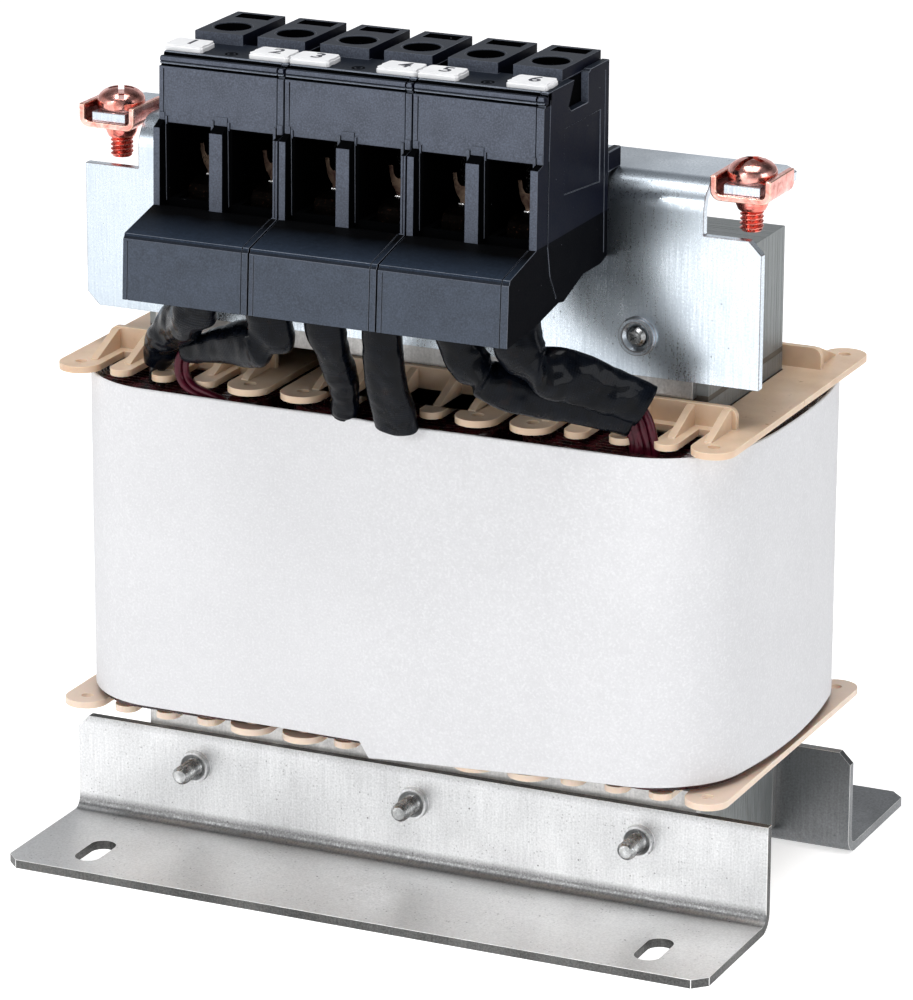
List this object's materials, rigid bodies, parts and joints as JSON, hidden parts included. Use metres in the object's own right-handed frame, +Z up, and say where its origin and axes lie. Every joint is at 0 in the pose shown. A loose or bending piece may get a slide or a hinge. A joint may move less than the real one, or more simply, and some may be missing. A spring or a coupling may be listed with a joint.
{
  "type": "line reactor",
  "caption": "Iron-core line reactor: laminated core, wrapped coils, screw terminals on a carrier plate, earth terminals and slotted foot brackets.",
  "frame": {"origin": "centre of the overall box on the mounting surface, 9.55 mm in front of the core's centre plane", "axes": "+X along the row of coils and terminals, -Y the terminal side, +Z up from the feet"},
  "size_m": [0.2, 0.1658, 0.2275],
  "materials": {
    "galvanised_sheet": "galvanised steel sheet, fine vertical grain and dark specks",
    "core_steel": "stacked electrical sheet, varnished, edges streaked",
    "gap_board": "pale insulating board, varnished",
    "bar_steel": "bright drawn steel bar, brushed",
    "former_nylon": "warm beige moulded nylon, varnish stained",
    "winding_copper": "enamelled copper wire, varnished",
    "wrap_paper": "off-white insulating paper, matte, faintly grey",
    "zinc_steel": "bright zinc plated",
    "earth_copper": "copper plated, satin",
    "cage_steel": "nickel plated, satin",
    "bar_copper": "tinned and bare copper, dull",
    "terminal_plastic": "dark blue-grey fine-textured moulding",
    "tag_white": "white with a dark plain digit",
    "wire_enamel": "burgundy enamel",
    "sleeve_varnished": "black braided sleeve, soaked in varnish"
  },
  "bodies": {
    "root": {"air_gap_spacers": "gap_board", "bolt_washers": "zinc_steel", "coil_former_left": "former_nylon", "coil_former_middle": "former_nylon", "coil_former_right": "former_nylon", "core_e_stack": "core_steel", "core_top_yoke": "core_steel", "earth_clamp_left": "earth_copper", "earth_clamp_right": "earth_copper", "earth_screw_left": "earth_copper", "earth_screw_right": "earth_copper", "front_foot_bracket": "galvanised_sheet", "lead_sleeve_1": "sleeve_varnished", "lead_sleeve_2": "sleeve_varnished", "lead_sleeve_3": "sleeve_varnished", "lead_sleeve_4": "sleeve_varnished", "lead_sleeve_5": "sleeve_varnished", "lead_sleeve_6": "sleeve_varnished", "lead_wires_1": "wire_enamel", "lead_wires_2": "wire_enamel", "lead_wires_3": "wire_enamel", "lead_wires_4": "wire_enamel", "lead_wires_5": "wire_enamel", "lead_wires_6": "wire_enamel", "lower_core_bolts": "zinc_steel", "lower_front_bar": "bar_steel", "lower_rear_bar": "bar_steel", "marker_tag_1": "tag_white", "marker_tag_2": "tag_white", "marker_tag_3": "tag_white", "marker_tag_4": "tag_white", "marker_tag_5": "tag_white", "marker_tag_6": "tag_white", "outer_wrap": "wrap_paper", "rear_foot_bracket": "galvanised_sheet", "terminal_bars": "bar_copper", "terminal_cages": "cage_steel", "terminal_carrier_plate": "galvanised_sheet", "terminal_housing_left": "terminal_plastic", "terminal_housing_middle": "terminal_plastic", "terminal_housing_right": "terminal_plastic", "terminal_screws": "cage_steel", "terminal_side_cover_left": "terminal_plastic", "terminal_side_cover_middle": "terminal_plastic", "terminal_side_cover_right": "terminal_plastic", "upper_core_bolts": "zinc_steel", "upper_front_bar": "bar_steel", "upper_rear_bar": "bar_steel", "winding_left": "winding_copper", "winding_middle": "winding_copper", "winding_right": "winding_copper"}
  },
  "joints": []
}
